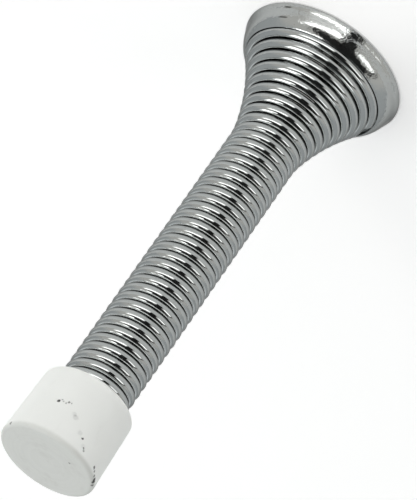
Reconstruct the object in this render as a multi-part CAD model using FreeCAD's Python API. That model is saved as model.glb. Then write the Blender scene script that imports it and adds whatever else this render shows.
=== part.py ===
import FreeCAD, Part
import math
import os

# Sizes in millimetres and degrees. The wall is z = 0, and the stop points away from it along +Z.
wire_diameter = 1.5
turn_gap = 0.06  # daylight between neighbouring turns
coil_diameter = 10.4  # outside of the straight length
turn_count = 45
throat_angle = 12.5  # slope where the tight throat bend runs into the open bell bend
throat_radius = 11.0
bell_angle = 33.4  # slope of the coil at its wide end
settling_turns = 8  # the first half turn lies flat, and the climb is even after these turns

base_diameter = 25.0
sheet = 0.9  # steel of the base
skirt_height = 2.6  # wall to the seat under the first turn
skirt_flare = 1.36  # how far the rim stands out past the lip
skirt_bulge = 0.1
lip_height = 0.72  # seat to the top of the lip round the first turn
lip_thickness = 0.47
lip_round = 0.56
crown_rise = 4.0  # seat to the top of the crown
crown_round = 1.1
screw_hole_diameter = 4.6
lug_diameter = 0.9

tip_length = 11.25
tip_wall = 1.55  # round the socket, at its mouth
tip_taper = 0.4  # how far the end stands out past the mouth
tip_end_thickness = 2.5
tip_mouth_round = 0.8
tip_end_round = 0.55
socket_lead = 0.2  # chamfer at the socket's mouth

seat_clearance = 0.03  # under the first turn and over the last one
lip_clearance = 0.05  # round the first turn
neck_clearance = 0.05
lug_clearance = 0.05
socket_clearance = 0.03

# What follows from those sizes.
wire_radius = wire_diameter / 2
pitch = wire_diameter + turn_gap
half_turns = int(round(2 * turn_count))
throat = math.radians(throat_angle)
bell = math.radians(bell_angle)
line_radius = (coil_diameter - wire_diameter) / 2
rim_radius = base_diameter / 2
lip_radius = rim_radius - skirt_flare
lip_top = skirt_height + lip_height
seat_radius = lip_radius - lip_thickness
wide_radius = seat_radius - lip_clearance - wire_radius
wide_height = skirt_height + seat_clearance + wire_radius
throat_start = line_radius + throat_radius * (1 - math.cos(throat))
bell_radius = (wide_radius - throat_start) / (math.cos(throat) - math.cos(bell))
bell_length = bell_radius * (bell - throat)
throat_length = throat_radius * throat
throat_height = wide_height + bell_radius * (math.sin(bell) - math.sin(throat))
line_height = throat_height + throat_radius * math.sin(throat)


# Radius and height of the wire's centre, at a distance along the coil's side from its wide end.
def coil_side(distance):
    if distance < bell_length:
        slope = bell - distance / bell_radius
        radius = wide_radius - bell_radius * (math.cos(slope) - math.cos(bell))
        return radius, wide_height + bell_radius * (math.sin(bell) - math.sin(slope))
    if distance < bell_length + throat_length:
        slope = throat - (distance - bell_length) / throat_radius
        radius = throat_start - throat_radius * (math.cos(slope) - math.cos(throat))
        return radius, throat_height + throat_radius * (math.sin(throat) - math.sin(slope))
    return line_radius, line_height + distance - bell_length - throat_length


# The wire crosses the XZ plane after every half turn, first on the -X side.
def crossing(count):
    lag = max(0, 1 - (count - 1) / (2 * settling_turns)) if count % 2 else 0
    radius, height = coil_side((count - lag) * pitch / 2)
    return FreeCAD.Vector(radius if count % 2 else -radius, 0, height)


# Each half turn is a half-circle bend from one crossing to the next: its centre, axis and middle point.
def half_bend(count):
    start = crossing(count)
    reach = (crossing(count + 1) - start) / 2
    side = FreeCAD.Vector(0, 1 if count % 2 else -1, 0)
    centre = start + reach
    return centre, side.cross(reach), centre + side * reach.Length


# The wire's section is carried round every bend, and the tube is closed by its two cut ends.
def make_coil_spring():
    section = Part.Edge(Part.Circle(crossing(0), FreeCAD.Vector(0, -1, 0), wire_radius))
    faces = [Part.Face(Part.Wire([section]))]
    for count in range(half_turns):
        centre, axis, middle = half_bend(count)
        faces.append(section.revolve(centre, axis, 180))
        section = section.copy()
        section.rotate(centre, axis, 180)
    faces.append(Part.Face(Part.Wire([section])))
    shell = Part.makeShell(faces)
    shell.sewShape()
    return Part.Solid(shell)


def point(radius, height):
    return FreeCAD.Vector(radius, 0, height)


def turned(edges):
    face = Part.Face(Part.Wire(edges))
    return face.revolve(FreeCAD.Vector(0, 0, 0), FreeCAD.Vector(0, 0, 1), 360)


def path(points):
    return [Part.makeLine(a, b) for a, b in zip(points, points[1:])]


def ring_edges(solid, radius, height):
    found = []
    for edge in solid.Edges:
        if isinstance(edge.Curve, Part.Circle):
            off = abs(edge.Curve.Radius - radius) + abs(edge.Curve.Center.z - height)
            if off < 1e-4:
                found.append(edge)
    return found


# Outside of the neck: a cone that runs along the inside of the widest turns.
def neck_radius(height):
    touch_radius = wide_radius - (wire_radius + neck_clearance) * math.cos(bell)
    touch_height = wide_height - (wire_radius + neck_clearance) * math.sin(bell)
    return touch_radius - (height - touch_height) * math.tan(bell)


# Centre and radius of the skirt's arc, from the rim to the lip.
def skirt_arc():
    run = point(lip_radius - rim_radius, lip_top)
    half = run.Length / 2
    arc_radius = (half ** 2 + skirt_bulge ** 2) / (2 * skirt_bulge)
    outward = point(run.z, -run.x) / run.Length
    middle = point((rim_radius + lip_radius) / 2, lip_top / 2)
    return middle - outward * (arc_radius - skirt_bulge), arc_radius


def on_arc(centre, arc_radius, height):
    return point(centre.x + math.sqrt(arc_radius ** 2 - (height - centre.z) ** 2), height)


def skirt_edge(centre, arc_radius, low, high):
    ends = [on_arc(centre, arc_radius, height) for height in (low, (low + high) / 2, high)]
    return Part.Arc(*ends).toShape()


# A round-nosed lug that catches in the valley between two neighbouring turns.
def make_lug(count):
    lower, upper = half_bend(count)[2], half_bend(count + 2)[2]
    valley = (lower + upper) / 2
    along = (upper - lower).normalize()
    inward = along.cross(FreeCAD.Vector(1, 0, 0))
    if inward.y * valley.y > 0:
        inward = -inward
    spread = wire_radius + lug_diameter / 2 + lug_clearance
    nose = valley + inward * math.sqrt(spread ** 2 - ((upper - lower).Length / 2) ** 2)
    root = valley + inward * (wire_radius + neck_clearance + sheet / 2)
    shank = Part.makeCylinder(lug_diameter / 2, (root - nose).Length, nose, inward)
    return shank.fuse(Part.makeSphere(lug_diameter / 2, nose))


# One pressed sheet: skirt, lip, seat, neck and crown, with the screw hole through the crown.
def make_base_cup():
    crown_top = skirt_height + crown_rise
    hole_radius = screw_hole_diameter / 2
    inset = sheet / math.cos(bell)
    centre, arc_radius = skirt_arc()
    seat_under = skirt_height - sheet
    crown_under = crown_top - sheet
    outside = path([
        point(lip_radius, lip_top),
        point(seat_radius, lip_top),
        point(seat_radius, skirt_height),
        point(neck_radius(skirt_height), skirt_height),
        point(neck_radius(crown_top), crown_top),
        point(hole_radius, crown_top),
        point(hole_radius, crown_under),
        point(neck_radius(crown_under) - inset, crown_under),
        point(neck_radius(seat_under) - inset, seat_under),
        on_arc(centre, arc_radius - sheet, seat_under),
    ])
    inner_skirt = skirt_edge(centre, arc_radius - sheet, seat_under, 0)
    rim = Part.makeLine(on_arc(centre, arc_radius - sheet, 0), point(rim_radius, 0))
    outer_skirt = skirt_edge(centre, arc_radius, 0, lip_top)
    cup = turned(outside + [inner_skirt, rim, outer_skirt])
    cup = cup.makeFillet(min(lip_round, 1.2 * lip_thickness), ring_edges(cup, lip_radius, lip_top))
    cup = cup.makeFillet(lip_thickness / 6, ring_edges(cup, seat_radius, lip_top))
    cup = cup.makeFillet(crown_round, ring_edges(cup, neck_radius(crown_top), crown_top))
    inner_round = max(crown_round - sheet, sheet / 6)
    cup = cup.makeFillet(inner_round, ring_edges(cup, neck_radius(crown_under) - inset, crown_under))
    return cup.fuse([make_lug(0), make_lug(1)])


# A tapered cap with a blind socket that holds the last turns.
def make_tip_cap():
    last_height = crossing(half_turns).z
    socket_floor = last_height + wire_radius + seat_clearance
    end = socket_floor + tip_end_thickness
    mouth = end - tip_length
    socket_radius = math.hypot(line_radius, pitch / 4) + wire_radius + socket_clearance
    mouth_radius = socket_radius + tip_wall
    end_radius = mouth_radius + tip_taper
    corners = [
        point(0, socket_floor),
        point(socket_radius, socket_floor),
        point(socket_radius, mouth + socket_lead),
        point(socket_radius + socket_lead, mouth),
        point(mouth_radius, mouth),
        point(end_radius, end),
        point(0, end),
        point(0, socket_floor),
    ]
    cap = turned(path(corners))
    mouth_round = min(tip_mouth_round, 0.9 * (tip_wall - socket_lead))
    cap = cap.makeFillet(mouth_round, ring_edges(cap, mouth_radius, mouth))
    return cap.makeFillet(tip_end_round, ring_edges(cap, end_radius, end))


os.makedirs("parts", exist_ok=True)
make_coil_spring().exportStep("parts/coil_spring.step")
make_base_cup().exportStep("parts/base_cup.step")
make_tip_cap().exportStep("parts/tip_cap.step")
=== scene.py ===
import math
import bmesh
import bpy
import numpy as np
from mathutils import Matrix, Vector


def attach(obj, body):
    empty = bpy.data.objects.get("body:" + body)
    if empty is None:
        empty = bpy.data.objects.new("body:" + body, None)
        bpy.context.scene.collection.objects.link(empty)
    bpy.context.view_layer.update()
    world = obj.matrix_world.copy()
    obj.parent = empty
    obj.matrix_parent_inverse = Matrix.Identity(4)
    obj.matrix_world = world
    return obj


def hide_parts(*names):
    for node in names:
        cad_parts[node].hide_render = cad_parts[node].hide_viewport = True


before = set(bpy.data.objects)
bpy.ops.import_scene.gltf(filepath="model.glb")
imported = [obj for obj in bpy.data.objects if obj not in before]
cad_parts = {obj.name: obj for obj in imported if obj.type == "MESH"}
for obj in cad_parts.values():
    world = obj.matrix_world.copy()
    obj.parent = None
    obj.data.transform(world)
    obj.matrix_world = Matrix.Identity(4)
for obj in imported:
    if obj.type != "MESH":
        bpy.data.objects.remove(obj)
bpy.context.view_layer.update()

scene = bpy.context.scene
scene.view_settings.view_transform = "Standard"
mm = 0.001
print("frame loaded:", ", ".join(sorted(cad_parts)))


# The camera looks down on the standing stop, rolled over so that the tip comes out low on the left.
shot = {
    "middle": (0, 0, 40.25),  # mm, the point that the distance is taken from
    "distance": 500,
    "elevation": 29.6,
    "aim": (-1.596, -4.338),  # mm to the right and up from the middle, seen before the roll
    "roll": 35.0,
    "lens": 264.2,
    "sensor": 36,
    "clip": (0.01, 50),  # m
}


def placeCamera():
    rise, roll = math.radians(shot["elevation"]), math.radians(shot["roll"])
    right = Vector((1, 0, 0))
    up = Vector((0, math.sin(rise), math.cos(rise)))
    middle = Vector(shot["middle"]) * mm
    eye = middle + Vector((0, -math.cos(rise), math.sin(rise))) * shot["distance"] * mm
    target = middle + (right * shot["aim"][0] + up * shot["aim"][1]) * mm
    look = (target - eye).normalized()
    tall = right * math.sin(roll) - up * math.cos(roll)
    tall = (tall - look * tall.dot(look)).normalized()
    wide = tall.cross(-look)
    data = bpy.data.cameras.new("shotCamera")
    data.sensor_width = shot["sensor"]
    data.lens = shot["lens"]
    data.clip_start, data.clip_end = shot["clip"]
    camera = bpy.data.objects.new("shotCamera", data)
    turn = Matrix((wide, tall, -look)).transposed().to_4x4()
    camera.matrix_world = Matrix.Translation(eye) @ turn
    scene.collection.objects.link(camera)
    scene.camera = camera


placeCamera()
print("camera placed")


# A socket that takes part in sums: each operator adds a Math node to its tree.
class Feed:
    def __init__(self, shader, socket):
        self.shader, self.socket = shader, socket

    def sum(self, operation, first, second):
        return self.shader.node("Math", {"operation": operation}, {0: first, 1: second})

    def __add__(self, other):
        return self.sum("ADD", self, other)

    def __radd__(self, other):
        return self.sum("ADD", other, self)

    def __sub__(self, other):
        return self.sum("SUBTRACT", self, other)

    def __rsub__(self, other):
        return self.sum("SUBTRACT", other, self)

    def __mul__(self, other):
        return self.sum("MULTIPLY", self, other)

    def __rmul__(self, other):
        return self.sum("MULTIPLY", other, self)

    def __pow__(self, other):
        return self.sum("POWER", self, other)

    def __rpow__(self, other):
        return self.sum("POWER", other, self)


class Shader:
    def __init__(self, tree):
        self.tree = tree
        tree.nodes.clear()

    def node(self, kind, settings, inputs, out=0):
        made = self.tree.nodes.new("ShaderNode" + kind)
        for key, value in settings.items():
            setattr(made, key, value)
        for key, value in inputs.items():
            if isinstance(value, Feed):
                self.tree.links.new(value.socket, made.inputs[key])
            else:
                made.inputs[key].default_value = value
        return Feed(self, made.outputs[out]) if made.outputs else None

    def place(self):  # the CAD frame's own coordinates, in metres
        return self.node("TexCoord", {}, {}, "Object")

    def mask(self, name):  # a number kept with the points of a mesh
        return self.node("Attribute", {"attribute_name": name}, {}, "Fac")

    def apart(self, vector):
        split = self.node("SeparateXYZ", {}, {0: vector})
        return [Feed(self, socket) for socket in split.socket.node.outputs]

    def scaled(self, vector, factors):
        return self.node("VectorMath", {"operation": "MULTIPLY"}, {0: vector, 1: factors})

    def noise(self, vector, scale, detail=2.0, roughness=0.5):
        inputs = {"Vector": vector, "Scale": scale, "Detail": detail, "Roughness": roughness}
        return self.node("TexNoise", {}, inputs, "Fac")

    def smooth(self, value, low, high):  # 0 below low, 1 above high, eased between them
        settings = {"interpolation_type": "SMOOTHSTEP"}
        return self.node("MapRange", settings, {"Value": value, "From Min": low, "From Max": high})

    def mix(self, share, first, second):
        return self.node("Mix", {"data_type": "RGBA"}, {0: share, 6: first, 7: second}, 2)

    def bump(self, height, strength, distance, normal=None):
        inputs = {"Height": height, "Strength": strength, "Distance": distance}
        if normal:
            inputs["Normal"] = normal
        return self.node("Bump", {}, inputs)

    def finish(self, inputs):
        surface = self.node("BsdfPrincipled", {}, inputs)
        self.node("OutputMaterial", {}, {"Surface": surface})


def newMaterial(name):
    material = bpy.data.materials.new(name)
    material.use_nodes = True
    return material, Shader(material.node_tree)


def rgb(red, green, blue):
    return (red, green, blue, 1.0)


def newPiece(name, node, mesh, material):
    piece = bpy.data.objects.new(name, mesh)
    mesh.materials.append(material)
    scene.collection.objects.link(piece)
    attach(piece, "root")
    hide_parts(node)


# The bake map of a piece keeps a margin on all sides.
mapMargin = 0.01


def onMap(share):
    return mapMargin + (1 - 2 * mapMargin) * share


def newMesh(name, points, faces, maps, sharp):
    mesh = bpy.data.meshes.new(name)
    mesh.from_pydata(points, [], faces)
    mesh.uv_layers.new(name="OFBake").data.foreach_set("uv", np.array(maps).ravel())
    mesh.polygons.foreach_set("use_smooth", np.ones(len(faces), bool))
    mesh.set_sharp_from_angle(angle=math.radians(sharp))
    return mesh


def keepMask(mesh, name, values):
    mesh.attributes.new(name, "FLOAT", "POINT").data.foreach_set("value", np.array(values))


# The spring: one round wire, close wound, wide at the wall and straight from the throat on.
coil = {
    "wire": 1.5,  # mm, wire diameter
    "gap": 0.06,  # daylight between turns
    "outside": 10.4,  # diameter of the straight length
    "turns": 45,
    "throatAngle": 12.5,
    "throatRadius": 11.0,
    "bellAngle": 33.4,
    "wideRadius": 9.87,  # wire centre at the wall end
    "wideHeight": 3.38,
    "settling": 8,  # turns after the flat first half turn in which the climb evens out
    "stepsPerHalfTurn": 36,
    "sides": 20,
    "sharp": 50,  # degrees, where the shading breaks
    "turnsPerStrip": 2,  # of the bake map
    "stripMargin": 0.05,
    "endSpots": (0.25, 0.75),  # where the two cut ends lie on the last row of the map
    "endReach": 0.4,  # their radius, as a share of the row's height
    "crest": (rgb(0.356, 0.37, 0.367), rgb(0.404, 0.419, 0.414)),  # cloudy, between two tones
    "valley": rgb(0.805, 0.825, 0.818),  # plating on the flanks of the turns, painted lighter than on the crests: a painted brightening of the reflections there
    "speck": rgb(0.2, 0.19, 0.175),
    # painted shade in the gaps between turns, where the turns hide each other
    "paintedGapShade": rgb(0.07, 0.068, 0.064),
    "edgeTint": rgb(0.35, 0.35, 0.35),
    "crestShare": (0.45, 0.72),  # how squarely the wire faces out, where the crests' darker tone begins and where it is full
    "gapShadeFade": (0.3, 0.5),  # the same, where the painted shade between the turns thins and where it ends
    "speckRange": (0.66, 0.74),
    "drawnScale": (160, 15000, 15000),  # along the wire and across it, for each metre
    "drawnDepth": 0.00002,  # m
    "cloudScale": 230,
    "speckScale": 2600,
}


def coilSide(distance):  # radius, height and slope, at a distance along the coil's side from its wide end
    throat, bell = math.radians(coil["throatAngle"]), math.radians(coil["bellAngle"])
    tight = coil["throatRadius"]
    line = (coil["outside"] - coil["wire"]) / 2
    throatStart = line + tight * (1 - math.cos(throat))
    ample = (coil["wideRadius"] - throatStart) / (math.cos(throat) - math.cos(bell))
    bellLength, throatLength = ample * (bell - throat), tight * throat
    throatHeight = coil["wideHeight"] + ample * (math.sin(bell) - math.sin(throat))
    if distance < bellLength:
        slope = bell - distance / ample
        radius = coil["wideRadius"] - ample * (math.cos(slope) - math.cos(bell))
        return radius, coil["wideHeight"] + ample * (math.sin(bell) - math.sin(slope)), slope
    if distance < bellLength + throatLength:
        slope = throat - (distance - bellLength) / tight
        radius = throatStart - tight * (math.cos(slope) - math.cos(throat))
        return radius, throatHeight + tight * (math.sin(throat) - math.sin(slope)), slope
    lineHeight = throatHeight + tight * math.sin(throat)
    return line, lineHeight + distance - bellLength - throatLength, 0.0


def lagAfter(count):  # the first half turn lies flat, and later ones make up for it
    return max(0, 1 - (count - 1) / (2 * coil["settling"])) if count % 2 else 0


def wireDistance(count):  # along the coil's side, after that many half turns
    return (count - lagAfter(count)) * (coil["wire"] + coil["gap"]) / 2


def wireCentre(halfTurns):  # and the slope of the coil's side there
    count = min(int(halfTurns), 2 * coil["turns"] - 1)
    part = halfTurns - count
    eased = (1 - math.cos(math.pi * part)) / 2
    part += (eased - part) * max(lagAfter(count), lagAfter(count + 1))
    low, high = wireDistance(count), wireDistance(count + 1)
    radius, height, slope = coilSide(low + (high - low) * part)
    turn = math.pi * halfTurns
    return Vector((-radius * math.cos(turn), -radius * math.sin(turn), height)), slope


def wireRings():  # centre, the two directions of the section, run along the wire, slope
    steps, total = coil["stepsPerHalfTurn"], 2 * coil["turns"]
    spots = [wireCentre(step / steps) for step in range(total * steps + 1)]
    rings, run = [], 0.0
    for index, (centre, slope) in enumerate(spots):
        before, after = spots[max(index - 1, 0)][0], spots[min(index + 1, len(spots) - 1)][0]
        ahead = (after - before).normalized()
        over = (Vector((0, 0, 1)) - ahead * ahead.z).normalized()
        rings.append((centre, ahead.cross(over), over, run, slope))
        run += (after - centre).length
    return rings


def wireSkin(rings):  # points of the tube, where each lies on the straight wire, how squarely it faces out
    sides, radius = coil["sides"], coil["wire"] / 2
    points, straight, outward = [], [], []
    for centre, across, over, along, slope in rings:
        flat = Vector((centre.x, centre.y, 0)).normalized()
        out = flat * math.cos(slope) + Vector((0, 0, math.sin(slope)))
        for side in range(sides):
            angle = 2 * math.pi * side / sides
            facing = across * math.cos(angle) + over * math.sin(angle)
            points.append((centre + facing * radius) * mm)
            straight.append((along * mm, radius * math.cos(angle) * mm, radius * math.sin(angle) * mm))
            outward.append(facing.dot(out))
    return points, straight, outward


def springMesh():
    rings, sides, margin = wireRings(), coil["sides"], coil["stripMargin"]
    points, straight, outward = wireSkin(rings)
    faces, maps = [], []
    stripSteps = 2 * coil["stepsPerHalfTurn"] * coil["turnsPerStrip"]
    strips = math.ceil((len(rings) - 1) / stripSteps)
    rows = strips + 1  # the last row of the map holds the two cut ends
    for ring in range(len(rings) - 1):
        strip, step = divmod(ring, stripSteps)
        left, right = (onMap(part / stripSteps) for part in (step, step + 1))
        low, high = ring * sides, (ring + 1) * sides
        for side in range(sides):
            after = (side + 1) % sides
            faces.append((low + side, high + side, high + after, low + after))
            edges = (margin + (1 - 2 * margin) * part / sides for part in (side, side + 1))
            bottom, top = ((strip + edge) / rows for edge in edges)
            maps += [(left, bottom), (right, bottom), (right, top), (left, top)]
    for ring, spot in zip((0, len(rings) - 1), coil["endSpots"]):
        points.append(rings[ring][0] * mm)
        straight.append((rings[ring][3] * mm, 0, 0))
        outward.append(0)
        for side in range(sides):
            pair = (ring * sides + side, ring * sides + (side + 1) % sides)
            faces.append((len(points) - 1, *(pair if ring == 0 else reversed(pair))))
            for corner, reach in ((0, 0), (side, coil["endReach"]), (side + 1, coil["endReach"])):
                angle = 2 * math.pi * corner / sides
                across, up = reach * math.cos(angle) / sides, reach * math.sin(angle)
                maps.append((spot + across, (strips + 0.5 + up) / rows))
    mesh = newMesh("coilWire", points, faces, maps, coil["sharp"])
    unwound = mesh.attributes.new("straightWire", "FLOAT_VECTOR", "POINT")
    unwound.data.foreach_set("vector", np.array(straight).ravel())
    keepMask(mesh, "outward", outward)
    return mesh


def wirePlating():
    material, shader = newMaterial("wirePlating")
    straight = shader.node("Attribute", {"attribute_name": "straightWire"}, {}, "Vector")
    outward = shader.mask("outward")
    place = shader.place()
    drawn = shader.noise(shader.scaled(straight, coil["drawnScale"]), 1.0, 3.0)  # lines left by the die
    cloud = shader.noise(place, coil["cloudScale"], 3.0)
    speck = shader.smooth(shader.noise(place, coil["speckScale"]), *coil["speckRange"])
    crestShare = shader.smooth(outward, *coil["crestShare"])  # painted reflection: the flanks of the turns are painted lighter than the crests, so their reflections read brighter
    # painted shade: the wire is darkened where it turns into the gap between turns
    paintedGapShade = 1 - shader.smooth(outward, *coil["gapShadeFade"])
    bright = shader.mix(crestShare, coil["valley"], shader.mix(cloud, *coil["crest"]))
    marked = shader.mix(speck * 0.5, bright, coil["speck"])
    shader.finish({
        "Base Color": shader.mix(paintedGapShade * 0.92, marked, coil["paintedGapShade"]),
        "Metallic": 1.0,
        "Roughness": 0.04 + cloud * 0.06 + drawn * 0.04 + paintedGapShade * 0.15 + speck * 0.12,
        "Specular Tint": coil["edgeTint"],
        "Normal": shader.bump(drawn, 0.12, coil["drawnDepth"]),
    })
    return material


newPiece("coil_wire", "coil_spring", springMesh(), wirePlating())
print("spring wound:", coil["turns"], "turns")


def roundCorners(corners, steps):
    # corners are (radius, height, round) in mm; a round of 0 leaves the corner as it is
    path = []
    for index, (x, y, size) in enumerate(corners):
        here = Vector((x, y))
        if not size or index in (0, len(corners) - 1):
            path.append(here)
            continue
        back = (Vector(corners[index - 1][:2]) - here).normalized()
        ahead = (Vector(corners[index + 1][:2]) - here).normalized()
        half = math.acos(max(-1, min(1, back.dot(ahead)))) / 2
        centre = here + (back + ahead).normalized() * size / math.sin(half)
        first = here + back * size / math.tan(half) - centre
        sweep = first.angle_signed(here + ahead * size / math.tan(half) - centre)
        for step in range(steps + 1):
            angle = -sweep * step / steps
            path.append(centre + Matrix.Rotation(angle, 2) @ first)
    return path


def filled(path, longest):  # long straight runs get more rings, so that no face is a sliver
    out = [path[0]]
    for before, after in zip(path, path[1:]):
        count = max(1, math.ceil((after - before).length / longest))
        out += [before.lerp(after, part / count) for part in range(1, count + 1)]
    return out


def turnedMesh(name, piece, path, inner, closed):
    # path runs round the section; inner says which of its points are out of sight, from 0 to 1
    segments = piece["segments"]
    onAxis = [spot.x < 1e-6 for spot in path]
    points, hidden, rings = [], [], []
    for spot, share, single in zip(path, inner, onAxis):
        rings.append(len(points))
        for segment in range(1 if single else segments):
            angle = 2 * math.pi * segment / segments
            points.append((spot.x * math.cos(angle) * mm, spot.x * math.sin(angle) * mm, spot.y * mm))
            hidden.append(share)
    runs = [0.0]
    for before, after in zip(path, path[1:] + path[:1]):
        runs.append(runs[-1] + (after - before).length)
    length = runs[-1] if closed else runs[-2]
    faces, maps = [], []
    for index in range(len(path) if closed else len(path) - 1):
        after = (index + 1) % len(path)
        low, high = rings[index], rings[after]
        bottom, top = (onMap(run / length) for run in (runs[index], runs[index + 1]))
        for segment in range(segments):
            turn = (segment + 1) % segments
            left, right = (onMap(part / segments) for part in (segment, segment + 1))
            if onAxis[index]:
                faces.append((low, high + turn, high + segment))
                maps += [((left + right) / 2, bottom), (right, top), (left, top)]
            elif onAxis[after]:
                faces.append((low + segment, low + turn, high))
                maps += [(left, bottom), (right, bottom), ((left + right) / 2, top)]
            else:
                faces.append((low + segment, low + turn, high + turn, high + segment))
                maps += [(left, bottom), (right, bottom), (right, top), (left, top)]
    mesh = newMesh(name, points, faces, maps, piece["sharp"])
    keepMask(mesh, "hidden", hidden)
    shell = bmesh.new()
    shell.from_mesh(mesh)
    bmesh.ops.recalc_face_normals(shell, faces=shell.faces)
    shell.to_mesh(mesh)
    shell.free()
    return mesh


# The base: one pressed sheet with a flared skirt, a lip round the first turn, and a crown for the screw.
base = {
    "rim": 12.5,  # mm, radius at the wall
    "lip": 11.14,  # radius outside the lip
    "lipThickness": 0.47,
    "lipTop": 3.32,
    "lipRound": 0.07,  # at the inner edge of the lip
    # heights in mm, and how far the skirt's outside leans in there, in degrees: a faint step low down and
    # a round shoulder
    "leans": [
        (0, 18), (0.4, 18), (0.75, 27), (1.1, 18), (1.6, 19),
        (2.2, 28), (2.7, 38), (3.1, 46), (3.32, 54),
    ],
    "leanSteps": 40,
    "rimSteps": 3,  # of these, how many give way to the round at the rim
    "lipSteps": 2,  # and to the top of the lip
    "seat": 2.6,  # height under the first turn
    "seatRound": 0.1,
    "bulge": 0.1,  # of the skirt's inside
    "bulgeSteps": 8,
    "sheet": 0.9,
    "crown": 6.6,  # height
    "crownRound": 1.1,
    "crownInnerRound": 0.25,
    "skirtInnerRound": 0.2,
    "hole": 2.3,  # radius
    "neckRoom": 0.05,  # between the neck and the inside of the first turn
    "edgeRound": 0.16,
    "roundSteps": 7,
    "longestRun": 0.8,
    "segments": 192,
    "sharp": 40,  # degrees, where the shading breaks
    # dark lines: degrees round from the camera's side towards +X, mm above the wall, then half the length
    # and half the width in mm and how dark; the first two are painted reflections of thin dark things, the
    # others scratches
    "scratchesAndReflections": [
        (45.5, 0.72, 0.75, 0.18, 1.0),
        (46.8, 2.17, 0.95, 0.15, 1.0),
        (-118.0, 1.30, 0.90, 0.13, 0.8),
        (162.0, 0.95, 0.60, 0.15, 0.9),
    ],
    "darkLineCore": 0.4,  # share of a dark line's length that is darkest
    "plating": (rgb(0.368, 0.381, 0.377), rgb(0.416, 0.43, 0.424)),  # cloudy, between two tones
    "speck": rgb(0.2, 0.19, 0.175),
    # dark lines: painted reflections on the camera's side, scratches elsewhere
    "scratchAndReflection": rgb(0.04, 0.04, 0.038),
    "wallSide": rgb(0.22, 0.215, 0.205),  # duller plating, out of sight
    "edgeTint": rgb(0.35, 0.35, 0.35),
    "speckRange": (0.67, 0.75),
    "cloudScale": 210,
    "speckScale": 2300,
    "polishScale": 9000,
    "polishDepth": 0.00002,  # m
    "waveScale": 210,
    "waveDepth": 0.00012,
    "waveStretch": (1, 1, 2.2),
    "peelScale": 1500,
    "peelDepth": 0.00004,
}


def skirtOutside():
    heights, leans = zip(*base["leans"])
    rise = heights[-1] / base["leanSteps"]
    spots = [(base["rim"], 0)]
    for step in range(base["leanSteps"]):
        lean = np.interp((step + 0.5) * rise, heights, leans)
        spots.append((spots[-1][0] - rise * math.tan(math.radians(lean)), (step + 1) * rise))
    return spots[base["rimSteps"]:-base["lipSteps"]]


def skirtInside(top):
    # an arc from the rim to the lip, set in by the thickness of the sheet, and followed down to the wall
    run = Vector((base["lip"] - base["rim"], base["lipTop"]))
    half, bulge = run.length / 2, base["bulge"]
    radius = (half ** 2 + bulge ** 2) / (2 * bulge)
    out = Vector((run.y, -run.x)) / run.length
    middle = Vector(((base["rim"] + base["lip"]) / 2, base["lipTop"] / 2))
    centre = middle - out * (radius - bulge)
    radius -= base["sheet"]
    heights = [top - top * part / base["bulgeSteps"] for part in range(base["bulgeSteps"] + 1)]
    return [(centre.x + math.sqrt(radius ** 2 - (height - centre.y) ** 2), height) for height in heights]


def neckRadius(height):  # a cone along the inside of the widest turns
    bell, off = math.radians(coil["bellAngle"]), coil["wire"] / 2 + base["neckRoom"]
    drop = height - coil["wideHeight"] + off * math.sin(bell)
    return coil["wideRadius"] - off * math.cos(bell) - drop * math.tan(bell)


def basePath():
    sheet, crown, soft = base["sheet"], base["crown"], base["edgeRound"]
    inset = sheet / math.cos(math.radians(coil["bellAngle"]))
    under, seatUnder = crown - sheet, base["seat"] - sheet
    seatEdge = base["lip"] - base["lipThickness"]
    inside = skirtInside(seatUnder)
    rimInner = inside[-1][0]
    corners = [(rimInner + soft, 0, 0), (base["rim"], 0, soft)]
    corners += [(x, y, 0) for x, y in skirtOutside()]
    corners += [
        (seatEdge, base["lipTop"], base["lipRound"]),
        (seatEdge, base["seat"], base["seatRound"]),
        (neckRadius(base["seat"]), base["seat"], base["seatRound"]),
        (neckRadius(crown), crown, base["crownRound"]),
        (base["hole"], crown, soft),
        (base["hole"], under, soft),
        (neckRadius(under) - inset, under, base["crownInnerRound"]),
        (neckRadius(seatUnder) - inset, seatUnder, base["crownInnerRound"]),
        (*inside[0], base["skirtInnerRound"]),
    ]
    corners += [(x, y, 0) for x, y in inside[2:-1]]  # the second spot gives way to the round before it
    corners += [(rimInner, 0, soft), (rimInner + soft, 0, 0)]
    return filled(roundCorners(corners, base["roundSteps"])[:-1], base["longestRun"])


def sheetMesh():
    path = basePath()
    holeReach, holeMiddle, rimTop = base["hole"] + 0.4, base["crown"] - 0.3, 0.25
    inner, turned = [], False
    for spot in path:  # past the hole the path is on the wall side of the sheet
        turned = turned or (spot.x < holeReach and spot.y < holeMiddle)
        inner.append(1.0 if turned and spot.y > rimTop else 0.0)
    return turnedMesh("baseSheet", base, path, inner, True)


def scratchAndReflectionMask(shader, x, y, z):
    scratchAndReflection = 0
    for angle, above, half, width, dark in base["scratchesAndReflections"]:
        side = math.radians(angle)
        along = x * math.cos(side) + y * math.sin(side)
        level = z - above * mm
        outer = shader.smooth(x * math.sin(side) - y * math.cos(side), 0, mm)
        near = 1 - shader.smooth((along * along) ** 0.5, base["darkLineCore"] * half * mm, half * mm)
        thin = 1 - shader.smooth((level * level) ** 0.5, 0, width * mm)
        scratchAndReflection = scratchAndReflection + outer * near * thin * dark
    return scratchAndReflection


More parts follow.
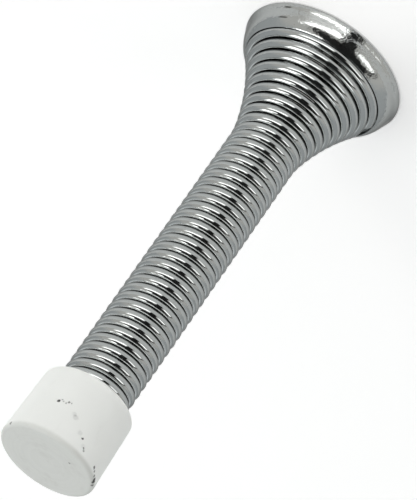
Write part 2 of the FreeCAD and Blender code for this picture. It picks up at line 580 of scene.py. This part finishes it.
def sheetPlating():
    material, shader = newMaterial("sheetPlating")
    place = shader.place()
    x, y, z = shader.apart(place)
    hidden = shader.mask("hidden")
    section = shader.node("CombineXYZ", {}, {0: (x * x + y * y) ** 0.5, 1: z})
    polish = shader.noise(section, base["polishScale"])  # rings of the buffing wheel
    cloud = shader.noise(place, base["cloudScale"], 3.0)
    speck = shader.smooth(shader.noise(place, base["speckScale"]), *base["speckRange"])
    wave = shader.noise(shader.scaled(place, base["waveStretch"]), base["waveScale"])  # left by the press
    peel = shader.noise(place, base["peelScale"], 3.0, 0.6)  # fine orange peel of the plating
    marked = shader.mix(speck * 0.55, shader.mix(cloud, *base["plating"]), base["speck"])
    # the first two dark lines are painted reflections of thin dark things, the others are scratches
    marked = shader.mix(scratchAndReflectionMask(shader, x, y, z), marked, base["scratchAndReflection"])
    relief = shader.bump(peel, 1.0, base["peelDepth"], shader.bump(wave, 1.0, base["waveDepth"]))
    shader.finish({
        "Base Color": shader.mix(hidden * 0.7, marked, base["wallSide"]),
        "Metallic": 1.0,
        "Roughness": 0.05 + cloud * 0.05 + polish * 0.05 + hidden * 0.3 + speck * 0.12,
        "Specular Tint": base["edgeTint"],
        "Normal": shader.bump(polish, 0.06, base["polishDepth"], relief),
    })
    return material


newPiece("base_sheet", "base_cup", sheetMesh(), sheetPlating())
print("base pressed")


# The tip: a moulded white cap, a little wider at its end, with the marks of use.
cap = {
    "length": 11.25,  # mm
    "wall": 1.55,  # round the socket, at its mouth
    "taper": 0.4,
    "endThickness": 2.5,
    "room": 0.03,  # round the last turns
    "mouthRound": 0.8,
    "endRound": 0.55,
    "lead": 0.2,  # chamfer at the socket's mouth
    "leadRound": 0.05,
    "floorRound": 0.12,
    "roundSteps": 10,
    "longestRun": 0.7,
    "segments": 144,
    "sharp": 40,  # degrees, where the shading breaks
    # marks of use: degrees round from the camera's side towards +X, mm from the axis, mm below the end,
    # then size in mm and how dark
    "marks": [
        (27.0, 7.02, 5.26, 0.32, 1.00),
        (24.5, 7.01, 5.65, 0.18, 0.55),
        (22.0, 7.01, 5.45, 0.20, 0.45),
        (18.6, 7.01, 5.40, 0.22, 0.50),
        (16.4, 7.01, 5.70, 0.24, 0.65),
        (13.2, 7.00, 5.75, 0.18, 0.55),
        (-18.0, 7.11, 2.47, 0.28, 0.95),
        (-25.1, 7.14, 1.50, 0.22, 0.60),
        (-26.6, 7.15, 1.25, 0.22, 0.55),
        (-36.4, 4.46, 0.00, 0.26, 0.70),
        (-51.5, 7.16, 1.15, 0.34, 0.85),
        (-55.5, 7.16, 0.90, 0.28, 0.65),
        (-60.5, 7.17, 0.60, 0.28, 0.65),
        (-65.5, 7.17, 0.45, 0.40, 0.95),
        (-69.0, 7.14, 0.24, 0.42, 0.90),
        (-75.0, 7.05, 0.08, 0.38, 0.70),
        (69.1, 7.14, 0.40, 0.32, 0.65),
        (140.0, 7.12, 1.00, 0.30, 0.60),
        (171.0, 7.06, 4.90, 0.24, 0.50),
        (4.2, 7.02, 4.60, 0.50, 0.22),
        (1.1, 7.03, 4.25, 0.60, 0.25),
        (-12.1, 7.08, 2.83, 0.55, 0.22),
        (-23.0, 7.13, 1.70, 0.50, 0.20),
        (-150.0, 6.90, 0.40, 0.40, 0.55),
    ],
    "markCore": 0.35,  # share of a mark's size that is darkest
    "ragged": 0.00034,  # m, how far the edges of the marks wander
    "raggedScale": 3200,
    "side": (rgb(0.865, 0.88, 0.855), rgb(0.915, 0.928, 0.905)),  # cloudy, between two tones
    "end": (rgb(0.62, 0.635, 0.605), rgb(0.72, 0.735, 0.705)),  # in rings, between two tones, painted darker than the side: painted shade of the end face
    "scuff": rgb(0.5, 0.5, 0.47),
    "mark": rgb(0.03, 0.03, 0.029),
    "endBand": (0.9, 0.15),  # mm below the end, where the side's tone runs into the end's painted darker tone
    "scuffRange": (0.5, 0.72),
    "smudgeRange": (0.6, 0.8),
    "smudgeStretch": (1, 1, 0.45),
    "cloudScale": 240,
    "scuffScale": 420,
    "smudgeScale": 330,
    "ringScale": 1500,
    "ringLength": 0.2,  # how fast the rings change along the axis, next to across it
    "ringDepth": 0.00004,  # m
    "grainScale": 5200,
    "grainDepth": 0.00003,
}


def capSizes():  # radius of the socket, heights of its floor and of the cap's end
    lastTurn, radius = wireCentre(2 * coil["turns"])[0], coil["wire"] / 2
    socket = math.hypot(lastTurn.x, (coil["wire"] + coil["gap"]) / 4) + radius + cap["room"]
    floor = lastTurn.z + radius + cap["room"]
    return socket, floor, floor + cap["endThickness"]


def capMesh():
    socket, floor, end = capSizes()
    mouth, mouthRadius = end - cap["length"], socket + cap["wall"]
    corners = [
        (0, end, 0),
        (mouthRadius + cap["taper"], end, cap["endRound"]),
        (mouthRadius, mouth, cap["mouthRound"]),
        (socket + cap["lead"], mouth, cap["leadRound"]),
        (socket, mouth + cap["lead"], cap["leadRound"]),
        (socket, floor, cap["floorRound"]),
        (0, floor, 0),
    ]
    path = filled(roundCorners(corners, cap["roundSteps"]), cap["longestRun"])
    socketReach, endUnder = socket + 0.01, end - 0.5
    inner = [1.0 if spot.x < socketReach and spot.y < endUnder else 0.0 for spot in path]
    return turnedMesh("capRubber", cap, path, inner, False)


def markMask(shader, place, end):
    wander = {"Vector": place, "Scale": cap["raggedScale"], "Detail": 2.0}
    ragged = shader.node("TexNoise", {}, wander, "Color")
    spread = {0: ragged, 1: [cap["ragged"]] * 3, 2: [-cap["ragged"] / 2] * 3}
    shift = shader.node("VectorMath", {"operation": "MULTIPLY_ADD"}, spread)
    spot = shader.node("VectorMath", {"operation": "ADD"}, {0: place, 1: shift})
    marks = 0
    for angle, out, below, size, dark in cap["marks"]:
        side = math.radians(angle)
        at = (out * math.sin(side) * mm, -out * math.cos(side) * mm, (end - below) * mm)
        gap = shader.node("VectorMath", {"operation": "DISTANCE"}, {0: spot, 1: at}, "Value")
        marks = marks + (1 - shader.smooth(gap, cap["markCore"] * size * mm, size * mm)) * dark
    return shader.smooth(marks, 0.0, 1.0)


def capRubber():
    material, shader = newMaterial("capRubber")
    end = capSizes()[2]
    place = shader.place()
    x, y, z = shader.apart(place)
    section = shader.node("CombineXYZ", {}, {0: (x * x + y * y) ** 0.5, 1: z * cap["ringLength"]})
    cloud = shader.noise(place, cap["cloudScale"], 3.0)
    grain = shader.noise(place, cap["grainScale"])
    rings = shader.noise(section, cap["ringScale"])
    onEnd = shader.smooth(z, *((end - below) * mm for below in cap["endBand"]))
    scuffed = onEnd * shader.smooth(shader.noise(place, cap["scuffScale"], 4.0, 0.6), *cap["scuffRange"])
    streaks = shader.noise(shader.scaled(place, cap["smudgeStretch"]), cap["smudgeScale"], 4.0, 0.6)
    smudge = shader.smooth(streaks, *cap["smudgeRange"])
    shade = shader.mix(cloud, *cap["side"])
    # painted shade: the end face takes a darker tone than the side; its rings are the moulding's own
    shade = shader.mix(onEnd * 0.9, shade, shader.mix(rings, *cap["end"]))
    shade = shader.mix(scuffed * 0.22 + smudge * 0.16, shade, cap["scuff"])
    relief = shader.bump(rings * onEnd, 0.25, cap["ringDepth"])
    shader.finish({
        "Base Color": shader.mix(markMask(shader, place, end), shade, cap["mark"]),
        "Roughness": 0.46 + cloud * 0.12 + grain * 0.06 + scuffed * 0.1,
        "Normal": shader.bump(grain, 0.15, cap["grainDepth"], relief),
    })
    return material


newPiece("cap_rubber", "tip_cap", capMesh(), capRubber())
print("cap moulded")


# The room: a pale floor, soft boxes round a dark ceiling, and dark stands on the camera's side.
room = {
    "floor": (0.93, 0.93, 0.925),
    "floorSpeckle": 0.985,  # tone of the darker patches, next to the paler ones
    "floorScale": 40,
    "floorSize": 6.0,  # m
    "floorHeight": -0.0001,
    "floorLift": 0.25,  # glow added where the floor is looked at
    "air": 0.6,  # light from the plain walls
    "walls": 0.85,  # how pale the walls look
    "backWall": 0.8,  # how pale the walls behind the stop look, next to the front ones
    "wallBlend": (-0.2, 0.2),  # where the front walls end and where the back ones begin
    "warm": (1.0, 0.985, 0.945),  # colour of the front walls
    "cool": (0.95, 0.985, 1.0),  # colour of the back walls
    "reach": 1.15,  # m, from the stop to the boxes and the stands
    "softEdge": 0.24,  # share of a box's width and height
    "boxPower": 4,  # W for each square metre, at a strength of 1
    # azimuth from the camera's side towards +X, elevation, width, height and roll in degrees,
    # then strength
    "boxes": {
        "nearBox": (26, 16.5, 68, 15, 13, 3.2),
        "apron": (22, 3, 70, 20, 4, 0.5),
        "sideBox": (-46, 19, 38, 15, 0, 2.0),
        "highBox": (118, 67, 44, 20, 0, 4.2),
        "farBox": (-112, 66, 36, 16, 0, 1.9),
        "topBox": (41, 64, 26, 15, 0, 2.4),
    },
    "stands": {  # the same angles for what stays dark, then how light its cloth is
        "cameraStand": (-12.5, 20, 21, 60, 0, 0.015),
        "post": (-63, 30, 7, 40, 0, 0.03),
    },
    "ceiling": [  # corners in m
        (-0.5, 0.15), (0.12, 0.15), (0.3, -0.45), (1.0, -0.84),
        (0.7, -1.36), (-0.7, -1.36), (-0.95, -0.6),
    ],
    "ceilingHeight": 0.94,
    "ceilingTone": 0.015,
    "weaveScale": 300,
    "weaveShade": 0.9,  # tone of the darker threads, next to the lighter ones
    "clothRoughness": 0.9,
}


def facingStop(azimuth, elevation, roll):
    side, rise = math.radians(azimuth), math.radians(elevation)
    out = Vector((math.sin(side) * math.cos(rise), -math.cos(side) * math.cos(rise), math.sin(rise)))
    turn = out.to_track_quat("Z", "Y").to_matrix().to_4x4()
    turn = turn @ Matrix.Rotation(math.radians(roll), 4, "Z")
    return Matrix.Translation(Vector(shot["middle"]) * mm + out * room["reach"]) @ turn


def spanned(width, height):
    return [2 * room["reach"] * math.tan(math.radians(angle) / 2) for angle in (width, height)]


def seenShare(shader):  # 1 where a surface is looked at, straight or in a shine, 0 where it only gives light
    rays = shader.node("LightPath", {}, {}).socket.node.outputs
    return sum(Feed(shader, rays["Is %s Ray" % kind]) for kind in ("Camera", "Glossy", "Transmission"))


def newSheet(name, corners, material):
    mesh = bpy.data.meshes.new(name)
    mesh.from_pydata(corners, [], [range(len(corners))])
    mesh.materials.append(material)
    sheet = bpy.data.objects.new(name, mesh)
    scene.collection.objects.link(sheet)
    return sheet


def layFloor():
    material, shader = newMaterial("paleFloor")
    seen = seenShare(shader)
    speckle = shader.noise(shader.place(), room["floorScale"], 3.0)
    darker = [part * room["floorSpeckle"] for part in room["floor"]]
    tone = shader.mix(speckle, rgb(*room["floor"]), rgb(*darker))
    lit = shader.node("BsdfDiffuse", {}, {"Color": tone})
    glow = shader.node("Emission", {}, {"Color": rgb(1, 1, 1), "Strength": seen * room["floorLift"]})
    both = shader.node("AddShader", {}, {0: lit, 1: glow})
    shader.node("OutputMaterial", {}, {"Surface": both})
    half, low = room["floorSize"] / 2, room["floorHeight"]
    corners = [(-half, -half, low), (half, -half, low), (half, half, low), (-half, half, low)]
    newSheet("paleFloor", corners, material)


def hangBoxes():
    for name, (azimuth, elevation, width, height, roll, strength) in room["boxes"].items():
        data = bpy.data.lights.new(name, "AREA")
        data.shape = "RECTANGLE"
        data.size, data.size_y = spanned(width, height)
        data.energy = room["boxPower"] * data.size * data.size_y * strength
        data.use_nodes = True
        shader = Shader(data.node_tree)
        across, down = shader.apart(shader.node("NewGeometry", {}, {}, "Parametric"))[:2]
        fade = 1
        for part in (across, 1 - across, down, 1 - down):  # the cloth of a box is lit less towards its edges
            fade = shader.smooth(part, 0, room["softEdge"]) * fade
        cloth = shader.node("Emission", {}, {"Strength": fade})
        shader.node("OutputLight", {}, {"Surface": cloth})
        box = bpy.data.objects.new(name, data)
        box.matrix_world = facingStop(azimuth, elevation, roll)
        box.visible_camera = False
        scene.collection.objects.link(box)


def hangSheet(name, outline, matrix, tone):
    # seen only in the shine of the metal
    material, shader = newMaterial(name)
    weave = shader.noise(shader.place(), room["weaveScale"])
    dark, light = (rgb(shade, shade, shade) for shade in (tone * room["weaveShade"], tone))
    shader.finish({"Base Color": shader.mix(weave, dark, light), "Roughness": room["clothRoughness"]})
    sheet = newSheet(name, [(x, y, 0) for x, y in outline], material)
    sheet.matrix_world = matrix
    sheet.visible_camera = False


def hangSheets():
    for name, (azimuth, elevation, width, height, roll, tone) in room["stands"].items():
        x, y = (size / 2 for size in spanned(width, height))
        outline = [(-x, -y), (x, -y), (x, y), (-x, y)]
        hangSheet(name, outline, facingStop(azimuth, elevation, roll), tone)
    overhead = Matrix.Translation((0, 0, room["ceilingHeight"]))
    hangSheet("ceilingSheet", room["ceiling"], overhead, room["ceilingTone"])


def lightAir():
    world = bpy.data.worlds.new("studioAir")
    world.use_nodes = True
    scene.world = world
    shader = Shader(world.node_tree)
    depth = shader.apart(shader.node("TexCoord", {}, {}, "Generated"))[1]
    behind = shader.smooth(depth, *room["wallBlend"])
    colour = shader.mix(behind, rgb(*room["warm"]), rgb(*room["cool"]))
    seen = room["walls"] * (1 - behind * (1 - room["backWall"]))
    strength = room["air"] + seenShare(shader) * (seen - room["air"])
    air = shader.node("Background", {}, {"Color": colour, "Strength": strength})
    shader.node("OutputWorld", {}, {"Surface": air})


layFloor()
hangBoxes()
hangSheets()
lightAir()
print("room lit")
